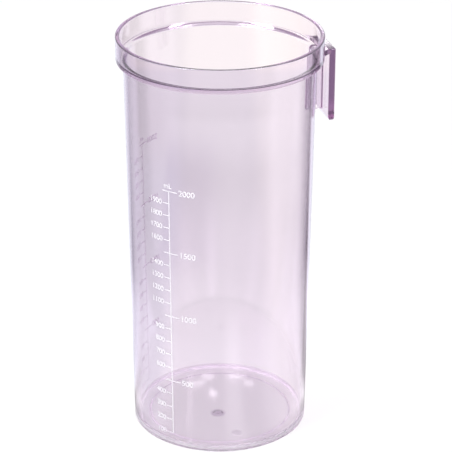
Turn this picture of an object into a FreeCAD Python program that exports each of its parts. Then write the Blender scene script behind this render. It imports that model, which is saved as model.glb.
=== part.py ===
import FreeCAD, Part
import math
import os

# Clear moulded suction canister jar: one injection-moulded polycarbonate piece.
# The origin is on the resting plane, on the jar's axis. +Z is up, the hook is on
# the +Y side, and the printed front faces -Y. All sizes are in millimetres.

# The round jar
height = 277.7
rim_radius = 68.0
collar_height = 16.0
collar_wall = 2.8
collar_step = 4.8
body_taper = 4.0
body_wall = 2.5
rim_bevel = 0.7
collar_edge_bevel = 0.6
collar_root_bevel = 0.6
ledge_bevel = 2.4

# The base
floor_thickness = 2.2
inner_foot_round = 1.6
outer_foot_bevel = 0.5
foot_ring_width = 11.0
foot_recess = 0.6
gate_radius = 5.0
gate_dimple = 0.7
gate_stub_radius = 1.4
gate_stub_height = 0.5
gate_distance = 9.0
gate_turn = 66.0
insert_radius = 3.6
insert_depth = 0.35
insert_distance = 38.0
insert_turn = 91.5

# The hook: a shelf on the collar, a tongue hanging from it and a web between
hook_width = 28.0
hook_gap = 2.3
tongue_thickness = 4.5
tongue_length = 50.8
tongue_corner = 3.0
hook_edge_round = 0.8
lead_in_height = 2.9
lead_in_depth = 1.6
shelf_thickness = 3.3
shelf_flare = 8.0
web_thickness = 3.0
web_length = 42.7
web_root_round = 1.6
web_root_sink = 0.4

# How near two places are to count as the same when edges are picked
same_place = 0.01

# Levels and radii that follow from the sizes above
collar_bottom = height - collar_height
seat_radius = rim_radius - collar_wall
body_top_radius = rim_radius - collar_step
body_foot_radius = body_top_radius - body_taper
body_top_inner = body_top_radius - body_wall
seat_level = collar_bottom + body_wall
wall_slope = body_taper / collar_bottom
floor_top = foot_recess + floor_thickness
recess_radius = body_foot_radius - foot_ring_width
tongue_inner = rim_radius + hook_gap
tongue_outer = tongue_inner + tongue_thickness
shelf_top = collar_bottom + shelf_thickness
tongue_bottom = shelf_top - tongue_length
web_bottom = collar_bottom - web_length


def at(x, y, z=0.0):
    return FreeCAD.Vector(x, y, z)


def outer_radius(z):
    """Radius of the body's outer wall at a level."""
    return body_foot_radius + wall_slope * z


def turned(distance, turn):
    """Point on the base, by distance from the axis and turn from the front."""
    angle = math.radians(turn)
    return distance * math.sin(angle), -distance * math.cos(angle)


def turned_profile(corners):
    """Closed wire in the XZ plane from corners of (radius, level, bevel, rounding)."""
    count = len(corners)
    starts = []
    ends = []
    edges = []
    for i, (x, z, bevel, rounding) in enumerate(corners):
        here = at(x, 0, z)
        before = corners[i - 1]
        after = corners[(i + 1) % count]
        to_before = (at(before[0], 0, before[1]) - here).normalize()
        to_after = (at(after[0], 0, after[1]) - here).normalize()
        half_turn = to_before.getAngle(to_after) / 2
        reach = max(bevel, rounding / math.tan(half_turn))
        starts.append(here + to_before * reach)
        ends.append(here + to_after * reach)
        if rounding > 0:
            inward = (to_before + to_after).normalize()
            middle = here + inward * (rounding / math.sin(half_turn) - rounding)
            edges.append(Part.Arc(starts[i], middle, ends[i]).toShape())
        elif bevel > 0:
            edges.append(Part.makeLine(starts[i], ends[i]))
    for i in range(count):
        edges.append(Part.makeLine(ends[i], starts[(i + 1) % count]))
    return Part.Wire(Part.__sortEdges__(edges))


def jar_shell():
    """The drafted body, its stepped collar and its base, turned as one profile."""
    foot_inner = outer_radius(floor_top) - body_wall
    corners = [
        (0, foot_recess, 0, 0),
        (recess_radius, foot_recess, 0, 0),
        (recess_radius + foot_recess, 0, 0, 0),
        (body_foot_radius, 0, outer_foot_bevel, 0),
        (body_top_radius, collar_bottom, collar_root_bevel, 0),
        (rim_radius, collar_bottom, collar_edge_bevel, 0),
        (rim_radius, height, rim_bevel, 0),
        (seat_radius, height, rim_bevel, 0),
        (seat_radius, seat_level, 0, 0),
        (body_top_inner, seat_level, ledge_bevel, 0),
        (foot_inner, floor_top, 0, inner_foot_round),
        (0, floor_top, 0, 0),
    ]
    face = Part.Face(turned_profile(corners))
    return face.revolve(at(0, 0), at(0, 0, 1), 360)


def gate_mark(jar):
    """The sprue's dimple under the floor, with its cut stub left inside it."""
    x, y = turned(gate_distance, gate_turn)
    dimple = Part.makeCone(gate_radius, gate_radius / 2, gate_dimple, at(x, y, foot_recess))
    stub = Part.makeCylinder(gate_stub_radius, gate_stub_height + gate_dimple,
                             at(x, y, foot_recess + gate_dimple - gate_stub_height))
    return jar.cut(dimple).fuse(stub)


def insert_mark(jar):
    """The round, bare mark of a mould insert under the floor."""
    x, y = turned(insert_distance, insert_turn)
    return jar.cut(Part.makeCylinder(insert_radius, insert_depth, at(x, y, foot_recess)))


def mirrored(p):
    return at(-p.x, p.y)


def shelf():
    """Level shelf on the collar's lower edge, flared where it meets the collar."""
    half = hook_width / 2
    flare_x = half + shelf_flare
    flare_y = math.sqrt((rim_radius + shelf_flare) ** 2 - flare_x ** 2)
    share = rim_radius / (rim_radius + shelf_flare)
    root = at(flare_x * share, flare_y * share)
    bend = math.pi + math.atan2(flare_y, flare_x) / 2
    hollow = at(flare_x + shelf_flare * math.cos(bend), flare_y + shelf_flare * math.sin(bend))
    buried = root * ((seat_radius + rim_radius) / 2 / rim_radius)
    crown = at(0, (seat_radius + rim_radius) / 2)
    side_top = at(half, flare_y)
    corner = at(half, tongue_outer)
    edges = [
        Part.Arc(mirrored(buried), crown, buried).toShape(),
        Part.makeLine(buried, root),
        Part.Arc(root, hollow, side_top).toShape(),
        Part.makeLine(side_top, corner),
        Part.makeLine(corner, mirrored(corner)),
        Part.makeLine(mirrored(corner), mirrored(side_top)),
        Part.Arc(mirrored(side_top), mirrored(hollow), mirrored(root)).toShape(),
        Part.makeLine(mirrored(root), mirrored(buried)),
    ]
    face = Part.Face(Part.Wire(edges))
    face.translate(at(0, 0, collar_bottom))
    return face.extrude(at(0, 0, shelf_thickness))


def tongue():
    """Flat tongue with rounded lower corners and a lead-in on its inner face."""
    half = hook_width / 2
    side = [
        (tongue_inner, shelf_top),
        (tongue_outer, shelf_top),
        (tongue_outer, tongue_bottom),
        (tongue_inner + lead_in_depth, tongue_bottom),
        (tongue_inner, tongue_bottom + lead_in_height),
    ]
    points = [at(-half, y, z) for y, z in side]
    face = Part.Face(Part.makePolygon(points + points[:1]))
    plate = face.extrude(at(hook_width, 0, 0))
    front = Part.makeBox(hook_width, tongue_thickness, tongue_length, at(-half, tongue_inner, tongue_bottom))
    lower = [e for e in front.Edges
             if e.BoundBox.ZMax < tongue_bottom + same_place
             and abs(abs(e.CenterOfMass.x) - half) < same_place]
    return plate.common(front.makeFillet(tongue_corner, lower))


def web():
    """Upright web in the hook's middle plane, widened where it meets each wall."""
    half = web_thickness / 2
    wide = half + web_root_round
    near = outer_radius(web_bottom) - web_root_sink
    far = tongue_inner + web_root_sink
    reach = web_root_round * (1 - math.sqrt(0.5))
    right = [at(wide, near), at(half, near + web_root_round), at(half, far - web_root_round), at(wide, far)]
    near_bend = at(half + reach, near + reach)
    far_bend = at(half + reach, far - reach)
    edges = [
        Part.Arc(right[0], near_bend, right[1]).toShape(),
        Part.makeLine(right[1], right[2]),
        Part.Arc(right[2], far_bend, right[3]).toShape(),
        Part.makeLine(right[3], mirrored(right[3])),
        Part.Arc(mirrored(right[3]), mirrored(far_bend), mirrored(right[2])).toShape(),
        Part.makeLine(mirrored(right[2]), mirrored(right[1])),
        Part.Arc(mirrored(right[1]), mirrored(near_bend), mirrored(right[0])).toShape(),
        Part.makeLine(mirrored(right[0]), right[0]),
    ]
    face = Part.Face(Part.Wire(edges))
    face.translate(at(0, 0, web_bottom))
    return face.extrude(at(0, 0, collar_bottom + web_root_sink - web_bottom))


def hook():
    """Shelf, tongue and web as one piece, its outer and top edges rounded."""
    plate = shelf().fuse(tongue()).removeSplitter()
    rounded = []
    for edge in plate.Edges:
        box = edge.BoundBox
        on_face = box.YMin > tongue_outer - same_place
        from_axis = math.hypot(edge.CenterOfMass.x, edge.CenterOfMass.y)
        on_top = box.ZMin > shelf_top - same_place and from_axis > rim_radius
        if on_face or on_top:
            rounded.append(edge)
    return plate.makeFillet(hook_edge_round, rounded).fuse(web())


def canister_jar():
    jar = insert_mark(gate_mark(jar_shell()))
    return jar.fuse(hook()).removeSplitter()


os.makedirs("parts", exist_ok=True)
canister_jar().exportStep("parts/canister_jar.step")
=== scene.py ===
"""Clear suction canister jar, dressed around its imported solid. Metres, +Z up, hook at +Y, print facing -Y."""
import math
from contextlib import contextmanager

import bmesh
import bpy
from mathutils import Matrix, Vector


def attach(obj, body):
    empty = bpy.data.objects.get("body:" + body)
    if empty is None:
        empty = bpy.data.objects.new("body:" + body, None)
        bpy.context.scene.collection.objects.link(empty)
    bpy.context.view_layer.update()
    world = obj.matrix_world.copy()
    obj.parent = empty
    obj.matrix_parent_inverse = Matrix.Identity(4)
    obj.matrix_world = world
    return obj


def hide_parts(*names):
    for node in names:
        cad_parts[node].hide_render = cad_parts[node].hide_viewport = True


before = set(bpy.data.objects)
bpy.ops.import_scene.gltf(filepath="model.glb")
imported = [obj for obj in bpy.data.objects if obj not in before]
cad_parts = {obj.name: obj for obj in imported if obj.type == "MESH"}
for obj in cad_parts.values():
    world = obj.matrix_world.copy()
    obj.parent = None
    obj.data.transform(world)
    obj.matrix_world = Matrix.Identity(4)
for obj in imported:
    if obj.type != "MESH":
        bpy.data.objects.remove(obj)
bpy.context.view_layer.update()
scene = bpy.context.scene


# The jar
# One injection moulding in clear, faintly lilac polycarbonate: a drafted round body, a
# wider collar with an inner ledge for the lid, a foot ring, and a hook on the collar.
HEIGHT = 277.7
RIM_RADIUS = 68.0
COLLAR_HEIGHT = 16.0
COLLAR_WALL = 2.8
COLLAR_STEP = 4.8
BODY_TAPER = 4.0
BODY_WALL = 2.5
FLOOR_THICKNESS = 2.2
FOOT_RING_WIDTH = 11.0
FOOT_RECESS = 0.6
RIM_ROUND = 0.85
COLLAR_ROUND = 0.6
SEAT_ROUND = 0.35
LEDGE_ROUND = 2.4
FOOT_ROUND = 0.5
RECESS_ROUND = 0.4
INNER_FOOT_ROUND = 1.6

# The sizes are millimetres, and MM turns them into the frame's metres
MM = 0.001
COLLAR_BOTTOM = HEIGHT - COLLAR_HEIGHT
SEAT_RADIUS = RIM_RADIUS - COLLAR_WALL
SEAT_LEVEL = COLLAR_BOTTOM + BODY_WALL
BODY_TOP = RIM_RADIUS - COLLAR_STEP
BODY_FOOT = BODY_TOP - BODY_TAPER
FLOOR_TOP = FOOT_RECESS + FLOOR_THICKNESS
RING_INNER = BODY_FOOT - FOOT_RING_WIDTH

# How finely the mesh follows the round: facets in a turn, and the arc that one facet spans. Extra
# rings shorten the faces of the wall, and of the collar where the hook joins it.
FACETS = 288
ARC_STEP = math.radians(11)
WALL_RINGS = (60, 130, 200, 214)
COLLAR_RING = COLLAR_BOTTOM + 5.5
# Points nearer than this are one: in a new mesh, and along the seams of a finished one
SAME_POINT = 0.0001
SEAM = 0.001


def wall_radius(z):
    """The body's outer radius at a height, both in millimetres."""
    return BODY_FOOT + BODY_TAPER * z / COLLAR_BOTTOM


def rounded(corners):
    """A run of plane points from corners of (x, y, radius), each corner an arc."""
    points = []
    for i, (x, y, radius) in enumerate(corners):
        here = Vector((x, y))
        if radius == 0:
            points.append(here)
            continue
        back = (Vector(corners[i - 1][:2]) - here).normalized()
        on = (Vector(corners[(i + 1) % len(corners)][:2]) - here).normalized()
        half_angle = back.angle(on) / 2
        centre = here + (back + on).normalized() * radius / math.sin(half_angle)
        start = here + back * radius / math.tan(half_angle) - centre
        end = here + on * radius / math.tan(half_angle) - centre
        bend = start.angle_signed(end)
        parts = max(2, round(abs(bend) / ARC_STEP))
        for k in range(parts + 1):
            points.append(centre + Matrix.Rotation(-bend * k / parts, 2) @ start)
    return points


def new_piece(name, bm):
    """A new object from a bmesh, with its faces turned outwards."""
    bmesh.ops.remove_doubles(bm, verts=bm.verts, dist=SAME_POINT * MM)
    bmesh.ops.recalc_face_normals(bm, faces=bm.faces)
    mesh = bpy.data.meshes.new(name)
    bm.to_mesh(mesh)
    bm.free()
    piece = bpy.data.objects.new(name, mesh)
    scene.collection.objects.link(piece)
    return piece


@contextmanager
def reshaping(piece):
    """A piece's mesh as a bmesh, which goes back into the piece when the work on it is done."""
    bm = bmesh.new()
    bm.from_mesh(piece.data)
    yield bm
    bm.to_mesh(piece.data)
    bm.free()


def spun(name, profile):
    """A closed solid of revolution from (radius, height) points that start and end on the axis."""
    bm = bmesh.new()
    turns = [math.tau * k / FACETS for k in range(FACETS)]
    rings = []
    for radius, z in profile:
        if radius == 0:
            rings.append([bm.verts.new((0, 0, z * MM))])
            continue
        rings.append([bm.verts.new((radius * MM * math.cos(turn), radius * MM * math.sin(turn), z * MM))
                      for turn in turns])
    for low, high in zip(rings, rings[1:]):
        for k in range(FACETS):
            after = (k + 1) % FACETS
            corners = [low[k % len(low)], low[after % len(low)],
                       high[after % len(high)], high[k % len(high)]]
            bm.faces.new(list(dict.fromkeys(corners)))
    return new_piece(name, bm)


def prism(name, outline, low, high):
    """A closed upright prism from a plan outline in millimetres."""
    bm = bmesh.new()
    base = bm.faces.new([bm.verts.new((x * MM, y * MM, low * MM)) for x, y in outline])
    raised = bmesh.ops.extrude_face_region(bm, geom=[base])["geom"]
    bmesh.ops.translate(bm, vec=(0, 0, (high - low) * MM),
                        verts=[v for v in raised if isinstance(v, bmesh.types.BMVert)])
    return new_piece(name, bm)


def baked(piece):
    """The piece with its modifiers worked into its mesh."""
    shaped = piece.evaluated_get(bpy.context.evaluated_depsgraph_get())
    mesh = bpy.data.meshes.new_from_object(shaped)
    piece.modifiers.clear()
    piece.data = mesh
    return piece


def joined(piece, other, operation="UNION"):
    """One solid from two, by an exact boolean."""
    cut = piece.modifiers.new("join", "BOOLEAN")
    cut.operation = operation
    cut.solver = "EXACT"
    cut.object = other
    baked(piece)
    bpy.data.objects.remove(other)
    return piece


jar = spun("jar", rounded([
    (0, FOOT_RECESS, 0),
    (RING_INNER, FOOT_RECESS, RECESS_ROUND),
    (RING_INNER + FOOT_RECESS, 0, RECESS_ROUND),
    (BODY_FOOT, 0, FOOT_ROUND),
    *[(wall_radius(z), z, 0) for z in WALL_RINGS],
    (BODY_TOP, COLLAR_BOTTOM, COLLAR_ROUND),
    (RIM_RADIUS, COLLAR_BOTTOM, COLLAR_ROUND),
    (RIM_RADIUS, COLLAR_RING, 0),
    (RIM_RADIUS, HEIGHT, RIM_ROUND),
    (SEAT_RADIUS, HEIGHT, RIM_ROUND),
    (SEAT_RADIUS, SEAT_LEVEL, SEAT_ROUND),
    (BODY_TOP - BODY_WALL, SEAT_LEVEL, LEDGE_ROUND),
    (wall_radius(FLOOR_TOP) - BODY_WALL, FLOOR_TOP, INNER_FOOT_ROUND),
    (0, FLOOR_TOP, 0),
]))

# The marks under the floor: the sprue's dimple with its cut stub, and a mould insert's disc.
# Each stands at (distance from the axis, degrees from the front).
GATE_AT = (9.0, 66.0)
GATE_RADIUS = 5.0
GATE_DIMPLE = 0.7
GATE_TAPER = 0.5
STUB_RADIUS = 1.4
STUB_HEIGHT = 0.5
STUB_ROOT = 0.5
INSERT_AT = (38.0, 91.5)
INSERT_RADIUS = 3.6
INSERT_DEPTH = 0.35
CUT_PAST = 1.0


def on_base(place):
    """Plan point from (distance, degrees from the front), in millimetres."""
    distance, turn = place
    return distance * math.sin(math.radians(turn)), -distance * math.cos(math.radians(turn))


def disc(place, radius, parts=48):
    """Plan outline of a round mark on the base."""
    x, y = on_base(place)
    return [(x + radius * math.cos(math.tau * k / parts),
             y + radius * math.sin(math.tau * k / parts)) for k in range(parts)]


dimple_top = FOOT_RECESS + GATE_DIMPLE
dimple = prism("dimple", disc(GATE_AT, GATE_RADIUS), FOOT_RECESS - CUT_PAST, dimple_top)
gate_centre = Vector((*on_base(GATE_AT), 0)) * MM
for vertex in dimple.data.vertices:
    if vertex.co.z > FOOT_RECESS * MM:
        point = Vector((vertex.co.x, vertex.co.y, 0))
        vertex.co.xy = (gate_centre + (point - gate_centre) * GATE_TAPER).xy
stub = prism("stub", disc(GATE_AT, STUB_RADIUS, parts=32), dimple_top - STUB_HEIGHT, dimple_top + STUB_ROOT)
insert = prism("insert", disc(INSERT_AT, INSERT_RADIUS), FOOT_RECESS - CUT_PAST, FOOT_RECESS + INSERT_DEPTH)
joined(jar, dimple, "DIFFERENCE")
joined(jar, stub)
joined(jar, insert, "DIFFERENCE")

# The hook: a shelf flared into the collar, a hanging tongue with a lead-in at its foot, and a web
# that joins the two to the wall
HOOK_WIDTH = 28.0
HOOK_GAP = 2.3
SHELF_THICKNESS = 3.3
SHELF_FLARE = 8.0
TONGUE_THICKNESS = 4.5
TONGUE_LENGTH = 50.8
TONGUE_CORNER = 3.0
EDGE_ROUND = 0.8
LEAD_IN_DEPTH = 1.6
LEAD_IN_HEIGHT = 2.9
WEB_THICKNESS = 3.0
WEB_LENGTH = 42.7
WEB_ROOT = 1.6
WEB_SINK = 0.4

TONGUE_INNER = RIM_RADIUS + HOOK_GAP
TONGUE_OUTER = TONGUE_INNER + TONGUE_THICKNESS
SHELF_TOP = COLLAR_BOTTOM + SHELF_THICKNESS
TONGUE_BOTTOM = SHELF_TOP - TONGUE_LENGTH
WEB_BOTTOM = COLLAR_BOTTOM - WEB_LENGTH


def arc_points(centre, radius, start, end, parts):
    """Points along an arc, its angles in radians."""
    return [(centre[0] + radius * math.cos(start + (end - start) * k / parts),
             centre[1] + radius * math.sin(start + (end - start) * k / parts))
            for k in range(parts + 1)]


def both_sides(half_outline):
    """A plan outline from its right half, listed from the middle outwards."""
    return half_outline + [(-x, y) for x, y in reversed(half_outline)]


def stood_up(piece, place):
    """A prism that was drawn lying down, with each point moved by a rule for its three parts."""
    for vertex in piece.data.vertices:
        vertex.co = place(*vertex.co)
    return piece


half_hook = HOOK_WIDTH / 2
flare_x = half_hook + SHELF_FLARE
flare_y = math.sqrt((RIM_RADIUS + SHELF_FLARE) ** 2 - flare_x ** 2)
meets = math.atan2(flare_y, flare_x)
buried = (SEAT_RADIUS + RIM_RADIUS) / 2
# The crown stops a hair short of the middle, so that its two halves share no point
off_middle = 0.001
crown = arc_points((0, 0), buried, math.pi / 2 - off_middle, meets, parts=16)
flare = arc_points((flare_x, flare_y), SHELF_FLARE, math.pi + meets, math.pi, parts=12)
shelf_half = crown + flare + [(half_hook, TONGUE_OUTER)]
shelf = prism("shelf", both_sides(shelf_half), COLLAR_BOTTOM, SHELF_TOP)

tongue_face = rounded([
    (-half_hook, SHELF_TOP, 0),
    (-half_hook, TONGUE_BOTTOM, TONGUE_CORNER),
    (half_hook, TONGUE_BOTTOM, TONGUE_CORNER),
    (half_hook, SHELF_TOP, 0),
])
tongue = stood_up(prism("tongue", tongue_face, -TONGUE_OUTER, -TONGUE_INNER), lambda x, z, y: (x, -y, z))
lead_in_side = [
    (TONGUE_INNER - CUT_PAST, TONGUE_BOTTOM - CUT_PAST),
    (TONGUE_INNER + LEAD_IN_DEPTH, TONGUE_BOTTOM - CUT_PAST),
    (TONGUE_INNER + LEAD_IN_DEPTH, TONGUE_BOTTOM),
    (TONGUE_INNER, TONGUE_BOTTOM + LEAD_IN_HEIGHT),
    (TONGUE_INNER - CUT_PAST, TONGUE_BOTTOM + LEAD_IN_HEIGHT),
]
lead_in = prism("lead_in", lead_in_side, -half_hook - CUT_PAST, half_hook + CUT_PAST)
joined(tongue, stood_up(lead_in, lambda y, z, x: (x, y, z)), "DIFFERENCE")
hook = joined(tongue, shelf)

# The outer edges are rounded: those on the tongue's outer face and round the shelf's top, where
# the faces turn by more than EDGE_TURN. Angles are in radians.
ON_FACE = 0.01
FLAT_TURN = 0.005
EDGE_TURN = 0.5
with reshaping(hook) as bm:
    bmesh.ops.remove_doubles(bm, verts=bm.verts, dist=SEAM * MM)
    bmesh.ops.dissolve_limit(bm, angle_limit=FLAT_TURN, verts=bm.verts, edges=bm.edges)
    outer_edges = []
    for edge in bm.edges:
        ends = [vertex.co / MM for vertex in edge.verts]
        on_face = all(end.y > TONGUE_OUTER - ON_FACE for end in ends)
        on_top = all(end.z > SHELF_TOP - ON_FACE for end in ends)
        past_rim = all(math.hypot(end.x, end.y) > RIM_RADIUS - ON_FACE for end in ends)
        if (on_face or on_top and past_rim) and edge.is_manifold and edge.calc_face_angle() > EDGE_TURN:
            outer_edges.append(edge)
    bmesh.ops.bevel(bm, geom=outer_edges, offset=EDGE_ROUND * MM, segments=4, profile=0.5,
                    affect="EDGES", clamp_overlap=True)
    bmesh.ops.recalc_face_normals(bm, faces=bm.faces)

wall_side = wall_radius(WEB_BOTTOM) - WEB_SINK
hook_side = TONGUE_INNER + WEB_SINK
root_x = WEB_THICKNESS / 2 + WEB_ROOT
web_half = (arc_points((root_x, wall_side + WEB_ROOT), WEB_ROOT, -math.pi / 2, -math.pi, parts=6)
            + arc_points((root_x, hook_side - WEB_ROOT), WEB_ROOT, math.pi, math.pi / 2, parts=6))
joined(hook, prism("web", both_sides(web_half), WEB_BOTTOM, COLLAR_BOTTOM + WEB_SINK))
joined(jar, hook)

# The rounds shade smoothly, the flat faces stay flat, and corners from SHARP_FROM on stay crisp
SHARP_FROM = math.radians(28)
with reshaping(jar) as bm:
    bmesh.ops.remove_doubles(bm, verts=bm.verts, dist=2 * SEAM * MM)
    bmesh.ops.dissolve_degenerate(bm, dist=2 * SEAM * MM, edges=bm.edges)
jar.data.shade_smooth()
jar.data.set_sharp_from_angle(angle=SHARP_FROM)
settle = jar.modifiers.new("settle", "WEIGHTED_NORMAL")
settle.mode = "FACE_AREA"
settle.weight = 100
settle.keep_sharp = True
baked(jar)


class Value:
    """A node's socket that takes Python arithmetic, each step a Math node."""

    def __init__(self, network, socket):
        self.network = network
        self.socket = socket

    def maths(self, operation, *others):
        """The result of a Math node's operation on this value and any others."""
        return self.network.maths(operation, self, *others)

    def __add__(self, other):
        return self.network.maths("ADD", self, other)

    __radd__ = __add__

    def __sub__(self, other):
        return self.network.maths("SUBTRACT", self, other)

    def __rsub__(self, other):
        return self.network.maths("SUBTRACT", other, self)

    def __mul__(self, other):
        return self.network.maths("MULTIPLY", self, other)

    __rmul__ = __mul__

    def __truediv__(self, other):
        return self.network.maths("DIVIDE", self, other)

    def __rtruediv__(self, other):
        return self.network.maths("DIVIDE", other, self)

    def __abs__(self):
        return self.maths("ABSOLUTE")


class Network:
    """A tree of nodes, with one method that adds any node to it."""

    def __init__(self, tree):
        self.tree = tree
        self.tree.nodes.clear()

    def plug(self, slot, value):
        """Links a value, a node or a socket to a slot, or sets the slot's own number or colour."""
        if isinstance(value, Value):
            value = value.socket
        if isinstance(value, bpy.types.Node):
            value = value.outputs[0]
        if isinstance(value, bpy.types.NodeSocket):
            self.tree.links.new(value, slot)
        elif slot.type == "RGBA":
            slot.default_value = (*value, 1)
        else:
            slot.default_value = value

    def node(self, kind, settings=(), **sockets):
        """Adds a node, its settings first. A socket is given by its name, or as i and its number."""
        made = self.tree.nodes.new(kind if "Node" in kind else "ShaderNode" + kind)
        for key, value in dict(settings).items():
            setattr(made, key, value)
        for key, value in sockets.items():
            by_number = key[1:].isdigit()
            self.plug(made.inputs[int(key[1:]) if by_number else key.replace("_", " ")], value)
        return made

    def value(self, kind, output=0, settings=(), **sockets):
        """One output of a new node, ready for arithmetic."""
        return Value(self, self.node(kind, settings, **sockets).outputs[output])

    def maths(self, operation, *operands):
        """The result of a Math node."""
        sockets = {f"i{place}": operand for place, operand in enumerate(operands)}
        return self.value("Math", settings={"operation": operation}, **sockets)

    def split(self, vector):
        """The three parts of a vector."""
        return [Value(self, part) for part in self.node("SeparateXYZ", Vector=vector).outputs]

    def step(self, value, low, high, start, end):
        """A smooth step from start to end as a value rises from low to high."""
        return self.value("MapRange", settings={"interpolation_type": "SMOOTHSTEP"},
                          i0=value, i1=low, i2=high, i3=start, i4=end)

    def above(self, value, low, high):
        """0 up to low, 1 from high on, and a smooth step between."""
        return self.step(value, low, high, 0.0, 1.0)

    def below(self, value, low, high):
        """1 up to low, 0 from high on, and a smooth step between."""
        return self.step(value, low, high, 1.0, 0.0)

    def mixed(self, share, first, second, way="MIX"):
        """A colour between two by a share, or the first tinted with the second."""
        mix = self.node("Mix", {"data_type": "RGBA", "blend_type": way}, Factor=share, i6=first, i7=second)
        return mix.outputs[2]

    def layered(self, share, first, second):
        """The first shader where a share is 0, and the second where it is 1."""
        return self.node("MixShader", i0=share, i1=first, i2=second)


class Finish(Network):
    """A material."""

    def __init__(self, name):
        self.material = bpy.data.materials.new(name)
        self.material.use_nodes = True
        super().__init__(self.material.node_tree)


# What a millimetre of the plastic lets through of red, green and blue, then the painted shade of the
# tongue's sides, the darkening round the marks under the floor, the painted light at the foot, the shadow and a
# ray that passes on
PLASTIC_TINT = (0.968, 0.946, 0.970)
TONGUE_SIDE_PAINTED_SHADE = (0.57, 0.57, 0.53)
TONGUE_FOOT_PAINTED_SHADE = (0.92, 0.70, 0.80)
GATE_TINT = (0.30, 0.22, 0.34)
INSERT_TINT = (0.60, 0.56, 0.62)
PAINTED_LIGHT_WHITE = (0.79, 0.80, 0.81)
SHADOW_TINT = (0.93, 0.88, 0.93)
PASSING_TINT = (0.78, 0.85, 0.79)
WHITE = (1.0, 1.0, 1.0)
# The polish, and how much rougher draw marks, handling and the matt underside make it, and how
# white the painted light at the foot is, from the least to what the streaks add
POLISH = 0.015
DRAW_MARKS = 0.03
HANDLING = 0.07
MATT = 0.5
RING_MATT = 0.3
CORNER_PAINTED_LIGHT = (0.27, 0.3)
RING_PAINTED_HIGHLIGHT = (0.1, 0.6)

clear = Finish("clear_polycarbonate")
jar_place = clear.node("TexCoord").outputs["Object"]
x, y, z = (part / MM for part in clear.split(jar_place))
facing_x, _, facing_z = (abs(part) for part in clear.split(clear.node("NewGeometry").outputs["Normal"]))
flat = clear.node("CombineXYZ", X=x, Y=y)
from_axis = clear.value("VectorMath", "Value", {"operation": "LENGTH"}, i0=flat)

# Each mask is one on its part of the moulding. Its limits are in millimetres, or for a face's
# direction from 0, edge on, to 1, square on
underside = clear.below(z, 1.2, 2.0)
lowest_edge = clear.below(z, FLOOR_TOP + 0.8, FLOOR_TOP + 2.7)
floor_corner = clear.above(from_axis, 54.5, 55.2) * (1.0 - underside)
foot_ring = clear.above(from_axis, RING_INNER - 0.7, RING_INNER + 0.3)
ring_edge = (clear.above(from_axis, RING_INNER - 1.6, RING_INNER - 0.2)
             * clear.below(from_axis, RING_INNER + 0.4, RING_INNER + 1.8) * underside)
tongue_sides = clear.above(facing_x, 0.8, 0.95) * clear.above(y, TONGUE_INNER - 0.8, TONGUE_INNER + 0.2)
tongue_foot = clear.below(z, TONGUE_BOTTOM + 4.3, TONGUE_BOTTOM + 10.8)
handled = clear.above(z, 200.0, 210.0) * clear.step(y, RIM_RADIUS + 0.5, RIM_RADIUS + 1.5, 1.0, 0.4)
level = clear.above(facing_z, 0.15, 0.6)
upright = 1.0 - facing_z


def darkened_spot(place, radius):
    """One round a moulding mark under the floor, where the colour is darkened, fading out round its rim."""
    away = clear.value("VectorMath", "Value", {"operation": "DISTANCE"}, i0=flat, i1=(*on_base(place), 0))
    return clear.below(away, radius * 0.6, radius * 1.3) * underside


# Painted shade: the tongue's narrow sides are grey where the thick edge looks dark, and paler and pinker at
# their foot
painted_side_shade = clear.mixed(tongue_foot, TONGUE_SIDE_PAINTED_SHADE, TONGUE_FOOT_PAINTED_SHADE)
shade = clear.mixed(tongue_sides, WHITE, painted_side_shade)
# Round the marks under the floor the colour is darkened
shade = clear.mixed(darkened_spot(GATE_AT, GATE_RADIUS), shade, GATE_TINT)
shade = clear.mixed(darkened_spot(INSERT_AT, INSERT_RADIUS), shade, INSERT_TINT)

# Draw marks run up the polished walls, lids and cleaning have dulled the level faces of the
# collar and the shelf, and the underside is matt
drawn = clear.node("Mapping", Vector=jar_place, Scale=(1.0, 1.0, 0.04))
streaks = clear.value("TexNoise", "Fac", Vector=drawn, Scale=220.0, Detail=3.0)
ripple = clear.value("TexNoise", "Fac", Vector=drawn, Scale=90.0, Detail=1.0)
roughness = (streaks * upright * DRAW_MARKS + level * handled * HANDLING
             + underside * (MATT + foot_ring * RING_MATT) + POLISH)
waves = clear.node("Bump", Strength=0.2, Distance=0.0001, Height=ripple * upright)
plastic = clear.node("BsdfPrincipled", Base_Color=shade, Roughness=roughness, IOR=1.58,
                     Transmission_Weight=1.0, Normal=waves.outputs["Normal"])

# White painted light, mixed in like scuffs: at the wall's lowest edge and in the floor's corner it lightens
# the dark bands that long paths in the plastic leave, and along the foot ring's inner edge it is a painted
# highlight
painted_foot_light = (floor_corner * lowest_edge * (streaks * CORNER_PAINTED_LIGHT[1] + CORNER_PAINTED_LIGHT[0])
             + ring_edge * (streaks * RING_PAINTED_HIGHLIGHT[1] + RING_PAINTED_HIGHLIGHT[0]))
with_painted_light = clear.layered(painted_foot_light, plastic, clear.node("BsdfDiffuse", Color=PAINTED_LIGHT_WHITE))

# The jar's shadow is pale and clear, and a ray that four mirrorings haven't let out passes on
light_path = clear.node("LightPath").outputs
trapped = clear.above(light_path["Glossy Depth"], 3.2, 3.8)
moulding = clear.layered(light_path["Is Shadow Ray"], with_painted_light, clear.node("BsdfTransparent", Color=SHADOW_TINT))
moulding = clear.layered(trapped, moulding, clear.node("BsdfTransparent", Color=PASSING_TINT))
tint = clear.node("VolumeAbsorption", Color=PLASTIC_TINT, Density=1 / MM)
clear.node("OutputMaterial", Surface=moulding, Volume=tint)
jar.data.materials.clear()
jar.data.materials.append(clear.material)
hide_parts("canister_jar")
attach(jar, "root")


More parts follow.
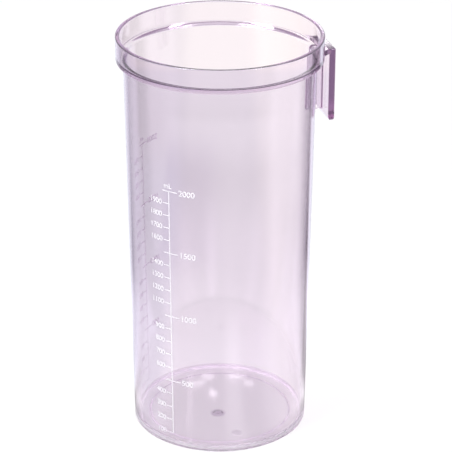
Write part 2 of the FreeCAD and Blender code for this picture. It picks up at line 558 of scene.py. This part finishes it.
# The printed scales
# White screen-printed ink on the outside of the wall: a scale of twenty 100 mL marks on
# each side of the front, every fifth mark longer, with its numbers and the unit.
MARKS = 20
MARK_VOLUME = 100
LONGER_EVERY = 5
INK_SUNK = 0.02
INK_PROUD = 0.03
LINE_WIDTH = 0.62
# Each scale's line stands at a bearing from the front, in degrees, and its numbers go to one hand
SCALES = {"scale_right": (42.0, 1), "scale_left": (-42.8, -1)}
# Where a mark starts and ends beside the line, and the terms of its height by its number
MINOR_TICK = (-4.7, 0.0)
MAJOR_TICK = (-4.9, 6.1)
FIRST_TERM = -0.833
LINEAR_TERM = 10.387
SQUARE_TERM = -0.04377

# The ink where it is worn and where it is whole, and the glow painted on its back for light that comes through
WORN_INK = (0.74, 0.73, 0.77)
WHOLE_INK = (0.84, 0.83, 0.87)
BLACK = (0.0, 0.0, 0.0)
PAINTED_BACK_GLOW = (0.22, 0.19, 0.23)

ink = Finish("white_ink")
ink_place = ink.node("TexCoord").outputs["Object"]
grain = ink.value("TexNoise", "Fac", Vector=ink_place, Scale=2400.0, Detail=2.0)
wear = ink.value("TexNoise", "Fac", Vector=ink_place, Scale=160.0, Detail=3.0)
cover = ink.mixed((grain * 0.5 + wear * 0.5).maths("MINIMUM", 1.0), WORN_INK, WHOLE_INK)
bumps = ink.node("Bump", Strength=0.15, Distance=0.00002, Height=grain)
# Painted light: the film's inner face glows a little in place of light through the thin film, so it is never
# quite dark
outward = ink.value("VectorMath", "Value", {"operation": "DOT_PRODUCT"},
                    i0=ink.node("NewGeometry").outputs["Normal"], i1=ink_place)
painted_glow = ink.mixed(ink.below(outward, -0.03, -0.02), BLACK, PAINTED_BACK_GLOW)
film = ink.node("BsdfPrincipled", Base_Color=cover, Roughness=0.5, Alpha=0.8,
                Normal=bumps.outputs["Normal"], Emission_Color=painted_glow, Emission_Strength=1.0)
ink.node("OutputMaterial", Surface=film)


class Pattern(Network):
    """A Geometry Nodes tree with named inputs."""

    def __init__(self, name, inputs):
        super().__init__(bpy.data.node_groups.new(name, "GeometryNodeTree"))
        self.tree.is_modifier = True
        face = self.tree.interface
        face.new_socket("Geometry", in_out="OUTPUT", socket_type="NodeSocketGeometry")
        self.keys = {}
        for label, value in inputs.items():
            kind = "NodeSocketInt" if isinstance(value, int) else "NodeSocketFloat"
            if isinstance(value, bpy.types.Material):
                kind = "NodeSocketMaterial"
            item = face.new_socket(label, in_out="INPUT", socket_type=kind)
            item.default_value = value
            self.keys[label] = item.identifier
        self.given = self.node("NodeGroupInput")
        self.end = self.node("NodeGroupOutput")

    def __getitem__(self, label):
        return Value(self, self.given.outputs[label])


def mark_rise(order, first, linear, square):
    """Height of a mark by its number. The steps between the marks shrink up the drafted bore."""
    return first + linear * order + square * order * order


marks = Pattern("scale marks", {
    "Marks": MARKS, "Azimuth": 0.0, "Hand": 1.0, "Line Width": LINE_WIDTH * MM,
    "Sunk": INK_SUNK * MM, "Proud": INK_PROUD * MM,
    "Minor Start": MINOR_TICK[0] * MM, "Minor End": MINOR_TICK[1] * MM,
    "Major Start": MAJOR_TICK[0] * MM, "Major End": MAJOR_TICK[1] * MM,
    "First Term": FIRST_TERM * MM, "Linear Term": LINEAR_TERM * MM, "Square Term": SQUARE_TERM * MM,
    "Foot Radius": BODY_FOOT * MM, "Slope": BODY_TAPER / COLLAR_BOTTOM, "Ink": ink.material})
terms = marks["First Term"], marks["Linear Term"], marks["Square Term"]
number = marks.value("GeometryNodeInputIndex") + 1.0
longer = number.maths("MODULO", float(LONGER_EVERY)).maths("COMPARE", 0.0, 0.1)
start = marks["Minor Start"] + longer * (marks["Major Start"] - marks["Minor Start"])
end = marks["Minor End"] + longer * (marks["Major End"] - marks["Minor End"])
depth = marks["Sunk"] + marks["Proud"]
middle = (marks["Proud"] - marks["Sunk"]) * 0.5

# The marks are bars on a run of points, with enough vertices along them to bend round the wall
mark_place = marks.node("CombineXYZ", X=(start + end) * 0.5, Y=middle, Z=mark_rise(number, *terms))
mark_points = marks.node("GeometryNodeMeshLine", Count=marks["Marks"])
mark_points = marks.node("GeometryNodeSetPosition", Geometry=mark_points, Position=mark_place)
bar = marks.node("GeometryNodeMeshCube", Size=(1, 1, 1), Vertices_X=9, Vertices_Y=2, Vertices_Z=2)
bar_size = marks.node("CombineXYZ", X=end - start, Y=depth, Z=marks["Line Width"])
ticks = marks.node("GeometryNodeInstanceOnPoints", Points=mark_points, Instance=bar, Scale=bar_size)
ticks = marks.node("GeometryNodeRealizeInstances", Geometry=ticks)

# The upright line from the first mark to the last
foot = mark_rise(1.0, *terms)
top = mark_rise(marks["Marks"], *terms)
spine_size = marks.node("CombineXYZ", X=marks["Line Width"], Y=depth, Z=top - foot)
spine_place = marks.node("CombineXYZ", X=0.0, Y=middle, Z=(top + foot) * 0.5)
spine = marks.node("GeometryNodeMeshCube", Size=spine_size, Vertices_X=2, Vertices_Y=2, Vertices_Z=41)
spine = marks.node("GeometryNodeTransform", Geometry=spine, Translation=spine_place)
lines = marks.node("GeometryNodeJoinGeometry")
marks.plug(lines.inputs[0], ticks)
marks.plug(lines.inputs[0], spine)

# The flat drawing is wrapped round the drafted wall
along, out, height = marks.split(marks.node("GeometryNodeInputPosition"))
radius = marks["Foot Radius"] + marks["Slope"] * height
turn = marks["Azimuth"] + along * marks["Hand"] / radius
on_wall = marks.node("CombineXYZ", X=(radius + out) * turn.maths("SINE"),
                     Y=(radius + out) * turn.maths("COSINE") * -1.0, Z=height)
wrapped = marks.node("GeometryNodeSetPosition", Geometry=lines, Position=on_wall)
inked = marks.node("GeometryNodeSetMaterial", Geometry=wrapped, Material=marks["Ink"])
marks.plug(marks.end.inputs[0], inked)

# How much bolder than its type the print is, the sizes of the letters, how far beside the line
# the numbers start, and where the unit stands
BOLDER = 0.07
MINOR_TEXT = 5.2
MAJOR_TEXT = 5.7
UNIT_TEXT = 4.8
MINOR_ASIDE = -5.6
MAJOR_ASIDE = 7.1
UNIT_ASIDE = -0.8
UNIT_ABOVE = 3.6


def mark_height(order):
    """Height of a mark above the base by its number, in millimetres."""
    return mark_rise(order, FIRST_TERM, LINEAR_TERM, SQUARE_TERM)


def printed(bm, words, size, across, z, azimuth, side="LEFT"):
    """Adds words to a mesh as ink wrapped round the wall, in millimetres from the scale's line."""
    text = bpy.data.curves.new("words", "FONT")
    text.body = words
    text.size = size * MM
    text.offset = BOLDER * MM
    text.align_x = side
    text.align_y = "CENTER"
    text.extrude = (INK_SUNK + INK_PROUD) / 2 * MM
    holder = bpy.data.objects.new("words", text)
    scene.collection.objects.link(holder)
    bpy.context.view_layer.update()
    shape = bpy.data.meshes.new_from_object(holder.evaluated_get(bpy.context.evaluated_depsgraph_get()))
    bpy.data.objects.remove(holder)
    for vertex in shape.vertices:
        x, y, depth = vertex.co
        level = z * MM + y
        base = wall_radius(level / MM) * MM
        turn = math.radians(azimuth) + (across * MM + x) / base
        base += depth + (INK_PROUD - INK_SUNK) / 2 * MM
        vertex.co = (base * math.sin(turn), -base * math.cos(turn), level)
    bm.from_mesh(shape)
    bpy.data.meshes.remove(shape)


for name, (azimuth, hand) in SCALES.items():
    scale = bpy.data.objects.new(name, bpy.data.meshes.new(name))
    scene.collection.objects.link(scale)
    modifier = scale.modifiers.new("marks", "NODES")
    modifier.node_group = marks.tree
    modifier[marks.keys["Azimuth"]] = math.radians(azimuth)
    modifier[marks.keys["Hand"]] = float(hand)
    baked(scale)
    with reshaping(scale) as bm:
        for order in range(1, MARKS + 1):
            is_major = order % LONGER_EVERY == 0
            size = MAJOR_TEXT if is_major else MINOR_TEXT
            aside = hand * (MAJOR_ASIDE if is_major else MINOR_ASIDE)
            side = "LEFT" if aside > 0 else "RIGHT"
            printed(bm, str(order * MARK_VOLUME), size, aside, mark_height(order), azimuth, side)
        unit_height = mark_height(MARKS) + UNIT_ABOVE
        printed(bm, "mL", UNIT_TEXT, hand * UNIT_ASIDE, unit_height, azimuth, "CENTER")
        bmesh.ops.remove_doubles(bm, verts=bm.verts, dist=SEAM * MM)
        bmesh.ops.recalc_face_normals(bm, faces=bm.faces)
    scale.data.materials.clear()
    scale.data.materials.append(ink.material)
    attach(scale, "root")


# The viewpoint
# A long lens on a tripod, nearly 1.3 m from the jar's axis and looking down at it by
# about 25 degrees, turned so that the hook stands at the right of the picture.
SENSOR_WIDTH = 36
FOCAL_LENGTH = 167.75
VIEW_TURN = math.radians(74)
VIEW_DISTANCE = 1.2886
VIEW_HEIGHT = 0.7352
VIEW_PITCH = 0.4322
VIEW_YAW = 0.0032
VIEW_ROLL = 0.0021

forward = Vector((math.sin(VIEW_YAW) * math.cos(VIEW_PITCH),
                  math.cos(VIEW_YAW) * math.cos(VIEW_PITCH),
                  -math.sin(VIEW_PITCH)))
level_right = Vector((math.cos(VIEW_YAW), -math.sin(VIEW_YAW), 0))
level_up = level_right.cross(forward)
right = math.cos(VIEW_ROLL) * level_right + math.sin(VIEW_ROLL) * level_up
up = -math.sin(VIEW_ROLL) * level_right + math.cos(VIEW_ROLL) * level_up
turned_view = Matrix.Rotation(VIEW_TURN, 3, "Z")
scene.view_settings.view_transform = "Standard"
lens = bpy.data.cameras.new("viewpoint")
lens.sensor_width = SENSOR_WIDTH
lens.lens = FOCAL_LENGTH
lens.clip_start = 0.05
lens.clip_end = 100
viewpoint = bpy.data.objects.new("viewpoint", lens)
scene.collection.objects.link(viewpoint)
axes = Matrix((turned_view @ right, turned_view @ up, -(turned_view @ forward))).transposed()
tripod = turned_view @ Vector((0, -VIEW_DISTANCE, VIEW_HEIGHT))
viewpoint.matrix_world = Matrix.Translation(tripod) @ axes.to_4x4()
scene.camera = viewpoint


# The studio
# A wide pale table under the jar, white light from all round, a large soft lamp over the
# left shoulder and a smaller one at the right, and painted reflections, light and shade on the table that show
# only in the jar.
FLOOR_HALF = 6.0
FLOOR_SUNK = 0.0002
FLOOR_COLOUR = (0.86, 0.86, 0.86)
FLOOR_GLOW = 0.75

sweep = Finish("pale_sweep")
lit = sweep.node("BsdfDiffuse", Color=FLOOR_COLOUR)
white_side = sweep.layered(FLOOR_GLOW, lit, sweep.node("Emission", Color=WHITE, Strength=1.0))
rays = sweep.node("LightPath").outputs
seen = Value(sweep, rays["Is Camera Ray"])
for kind in ("Is Glossy Ray", "Is Transmission Ray"):
    seen = seen.maths("MAXIMUM", rays[kind])

# A place on the table is given across the view, into it, by its reach from the jar's axis, or by
# its bearing from straight behind the jar
table_place = sweep.node("TexCoord").outputs["Object"]
table_place = sweep.node("Mapping", Vector=table_place, Rotation=(0, 0, -VIEW_TURN))
across, into, _ = sweep.split(table_place)
bearing = across.maths("ARCTAN2", into)
reach = sweep.value("VectorMath", "Value", {"operation": "LENGTH"}, i0=table_place)


def sector(middle, half_width, softness):
    """One over the part of the table within half_width of a bearing, in degrees."""
    away = math.pi - abs(math.pi - abs(bearing - math.radians(middle)))
    return sweep.below(away, math.radians(half_width - softness), math.radians(half_width + softness))


# What the jar mirrors is painted reflections, glow on the table, as (bearing, half width and softness in
# degrees, brightness). One that takes light away is below zero, and a nearly black painted patch stands at the
# right.
near = sweep.below(reach, 0.14, 0.34)
skirt = sweep.below(reach, 0.20, 0.28)
outer = sweep.above(reach, 0.17, 0.28)
middling = sweep.above(reach, 0.37, 0.46)
far = sweep.above(reach, 0.48, 0.59)
beyond = sweep.above(reach, 0.605, 0.625)
BACK_PAINTED_REFLECTION = (-12, 54, 8)
PAINTED_REFLECTIONS = [
    (*BACK_PAINTED_REFLECTION, 0.6),
    (0, 40, 4, 0.4),
    (-50, 20, 6, outer * -0.28),
    (95, 26, 10, 0.75 + middling * 0.25 + far * 0.3),
    (112, 22, 8, near * 0.45),
    (56, 30, 8, skirt * 0.25),
    (-92, 30, 10, 0.15 + near * 0.3),
    (-106, 24, 8, near * 0.55),
    (-60, 26, 8, skirt * 0.15),
    (166, 8, 6, near * 0.8),
    (180, 62, 14, near * 1.15 + far * 0.8 - beyond * 0.4),
]
PAINTED_DARK_PATCH = (52, 9.5, 2)
DARK_PATCH_DEPTH = 0.95
REFLECTION_TONE = (0.94, 0.97, 1.05)
strength = 0.12 + near * 0.15
for *spread, brightness in PAINTED_REFLECTIONS:
    strength += sector(*spread) * brightness
painted_dark_patch = sector(*PAINTED_DARK_PATCH) * sweep.above(reach, 0.26, 0.32)
# The dark patch, and a painted shadow in the mirrored table right beside the jar
strength *= (1.0 - painted_dark_patch * DARK_PATCH_DEPTH) * sweep.step(reach, 0.062, 0.078, 0.5, 1.0)
cool = sweep.mixed(sector(*BACK_PAINTED_REFLECTION), WHITE, REFLECTION_TONE)
mirrored_glow = sweep.node("Emission", Color=cool, Strength=strength)

# Painted light and shade on the table, seen only through the jar: a dim strip at the left, a bright one at the
# right, a quiet patch behind the body, the bright end of the table and a painted shadow in the jar's own
# footprint
LEFT_PAINTED_SHADE = (0.92, 0.94, 0.98)
FAR_LEFT_PAINTED_SHADE = (0.90, 0.90, 0.92)
RIGHT_PAINTED_LIGHT = (1.10, 1.10, 1.07)
QUIET_PAINTED_SHADE = (0.915, 0.90, 0.93)
END_PAINTED_LIGHT = (1.13, 1.10, 1.06)
FOOTPRINT_PAINTED_SHADOW = (0.92, 0.92, 0.92)
quiet = (sweep.above(across, -0.066, -0.054) * sweep.below(across, -0.022, 0.010)
         * sweep.above(into, 0.19, 0.27) * sweep.below(into, 0.42, 0.56))
left = sweep.mixed(sweep.above(into, 0.38, 0.52), LEFT_PAINTED_SHADE, FAR_LEFT_PAINTED_SHADE)
behind = sweep.mixed(sweep.below(across, -0.055, -0.030), WHITE, left)
behind = sweep.mixed(sweep.above(across, 0.030, 0.055), behind, RIGHT_PAINTED_LIGHT)
behind = sweep.mixed(quiet, behind, QUIET_PAINTED_SHADE, "MULTIPLY")
behind = sweep.mixed(sweep.above(into, 0.662, 0.685), behind, END_PAINTED_LIGHT, "MULTIPLY")
behind = sweep.mixed(sweep.below(reach, 0.052, 0.062), behind, FOOTPRINT_PAINTED_SHADOW, "MULTIPLY")
through = sweep.node("Emission", Color=behind, Strength=1.0)

# The painted reflections show in the first mirroring only. After it the table looks as it does through the jar.
mirrorings = Value(sweep, rays["Glossy Depth"])
mirrored = mirrorings.maths("MINIMUM", 1.0) * sweep.below(mirrorings, 1.2, 1.8)
by_jar = sweep.layered(mirrored, through, mirrored_glow)
shown = sweep.layered(rays["Is Camera Ray"], by_jar, white_side)
sweep.node("OutputMaterial", Surface=sweep.layered(seen, lit, shown))

bm = bmesh.new()
corners = [(-1, -1), (1, -1), (1, 1), (-1, 1)]
bm.faces.new([bm.verts.new((x * FLOOR_HALF, y * FLOOR_HALF, 0)) for x, y in corners])
floor = new_piece("floor", bm)
floor.location.z = -FLOOR_SUNK
floor.data.materials.append(sweep.material)

# White light from all round, a little stronger where the camera looks straight at it
world = bpy.data.worlds.new("studio")
scene.world = world
world.use_nodes = True
sky = Network(world.node_tree)
all_round = sky.node("Background", Color=WHITE, Strength=0.9)
backdrop = sky.node("Background", Color=WHITE, Strength=1.0)
seen_directly = sky.node("LightPath").outputs["Is Camera Ray"]
sky.node("OutputWorld", Surface=sky.layered(seen_directly, all_round, backdrop))

AIM_HEIGHT = 0.15


def lamp(name, bearing, elevation, distance, size, power, shape="RECTANGLE"):
    """A soft lamp that faces the middle of the jar, by its bearing from the camera in degrees."""
    light = bpy.data.lights.new(name, "AREA")
    light.shape = shape
    light.size, light.size_y = size
    light.energy = power
    holder = bpy.data.objects.new(name, light)
    scene.collection.objects.link(holder)
    turn = VIEW_TURN + math.radians(bearing)
    rise = math.radians(elevation)
    away = Vector((math.sin(turn) * math.cos(rise), -math.cos(turn) * math.cos(rise), math.sin(rise)))
    holder.location = away * distance + Vector((0, 0, AIM_HEIGHT))
    holder.rotation_euler = (-away).to_track_quat("-Z", "Y").to_euler()


lamp("key", bearing=-46, elevation=50, distance=1.8, size=(0.4, 1.1), power=22)
lamp("fill", bearing=46, elevation=42, distance=2.0, size=(0.3, 1.1), power=10)
# Small lamps behind the jar glint on its level faces: (degrees to the right of the view,
# elevation, distance, width and height, brightness)
GLINTS = [
    (4.7, 21.3, 2.38, (0.070, 0.080), 4.5),
    (0.76, 21.0, 2.35, (0.014, 0.030), 1.8),
    (-0.6, 21.0, 2.35, (0.010, 0.030), 1.6),
    (-0.56, 25.3, 1.95, (0.022, 0.008), 6.0),
    (-0.96, 24.6, 1.97, (0.032, 0.006), 5.0),
    (1.22, 24.6, 1.97, (0.050, 0.004), 5.0),
    (2.29, 24.9, 1.97, (0.034, 0.006), 4.0),
    (-1.84, 24.9, 1.97, (0.044, 0.006), 4.0),
]
for aside, elevation, distance, size, brightness in GLINTS:
    power = brightness * math.pi * math.prod(size)
    lamp("glint", 180 - aside, elevation, distance, size, power, "ELLIPSE")
